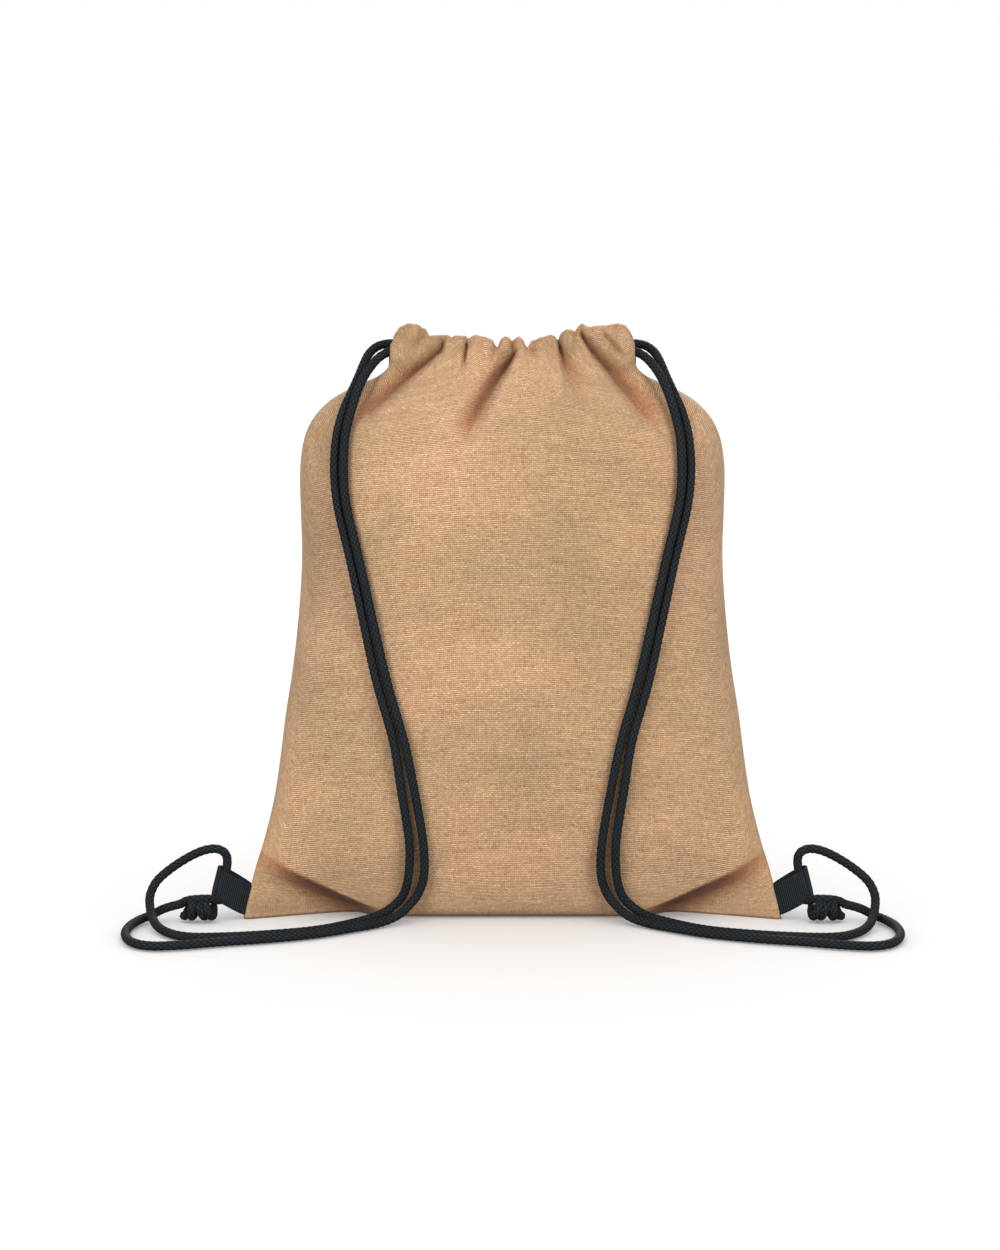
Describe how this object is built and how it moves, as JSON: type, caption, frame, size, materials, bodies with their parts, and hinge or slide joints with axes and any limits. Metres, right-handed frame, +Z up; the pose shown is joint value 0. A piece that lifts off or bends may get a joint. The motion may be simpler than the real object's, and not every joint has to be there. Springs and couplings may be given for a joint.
{
  "type": "burlap drawstring sack with cord shoulder straps",
  "caption": "Standing jute sack with a gathered drawcord mouth, doubled braided cords that serve as shoulder straps, and webbing corner tabs that the cords are knotted through",
  "frame": {"origin": "on the floor under the middle of the sack, centred between its sides and between its front and back", "axes": "+Z up, the front of the sack faces -Y, +X is to the right of someone who looks at the front"},
  "size_m": [0.544, 0.2377, 0.421],
  "materials": {
    "jute": "coarse plain-woven natural jute, matt",
    "cord": "braided charcoal cord, matt with a slight sheen",
    "webbing": "ribbed charcoal webbing, matt"
  },
  "bodies": {
    "root": {"front_panel": "jute", "back_panel": "jute", "tab_left": "webbing", "tab_right": "webbing", "cord_left_a": "cord", "cord_left_b": "cord", "cord_right_a": "cord", "cord_right_b": "cord", "knot_left": "cord", "knot_right": "cord"}
  },
  "joints": []
}
